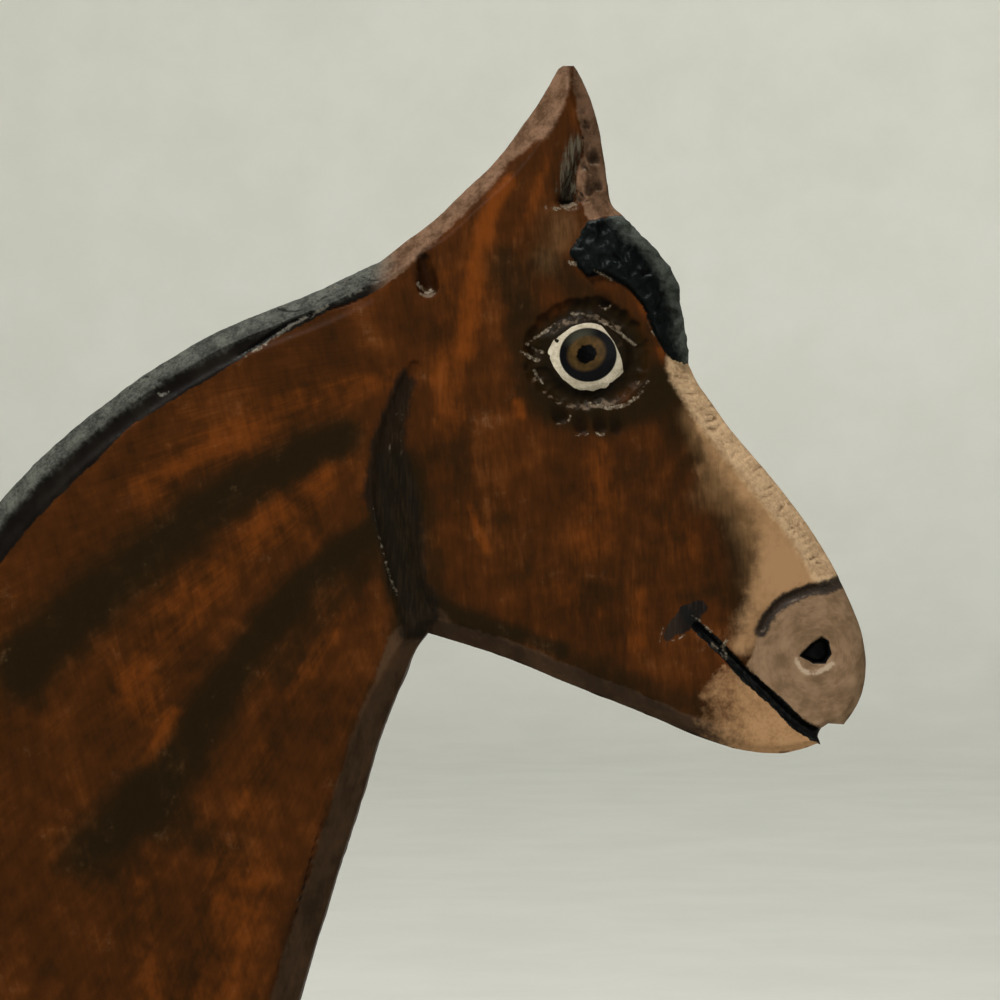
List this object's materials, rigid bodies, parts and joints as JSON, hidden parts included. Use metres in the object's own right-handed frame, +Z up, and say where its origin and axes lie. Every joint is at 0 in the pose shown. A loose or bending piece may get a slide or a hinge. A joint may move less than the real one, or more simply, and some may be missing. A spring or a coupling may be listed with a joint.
{
  "type": "carved wooden horse head bust",
  "caption": "Flat horse head and neck carved from one thick plank, painted chestnut with a black mane and cream blaze, standing on its flat base.",
  "frame": {"origin": "centre of the flat underside", "axes": "+X the way the horse faces, +Y across the plank's thickness, away from the pictured face, +Z up"},
  "size_m": [0.447, 0.0564, 0.446],
  "materials": {
    "painted_wood": "hand-brushed chestnut oil paint with darker strokes, black mane and forelock, cream blaze, satin sheen"
  },
  "bodies": {
    "root": {"horse_bust": "painted_wood"}
  },
  "joints": []
}
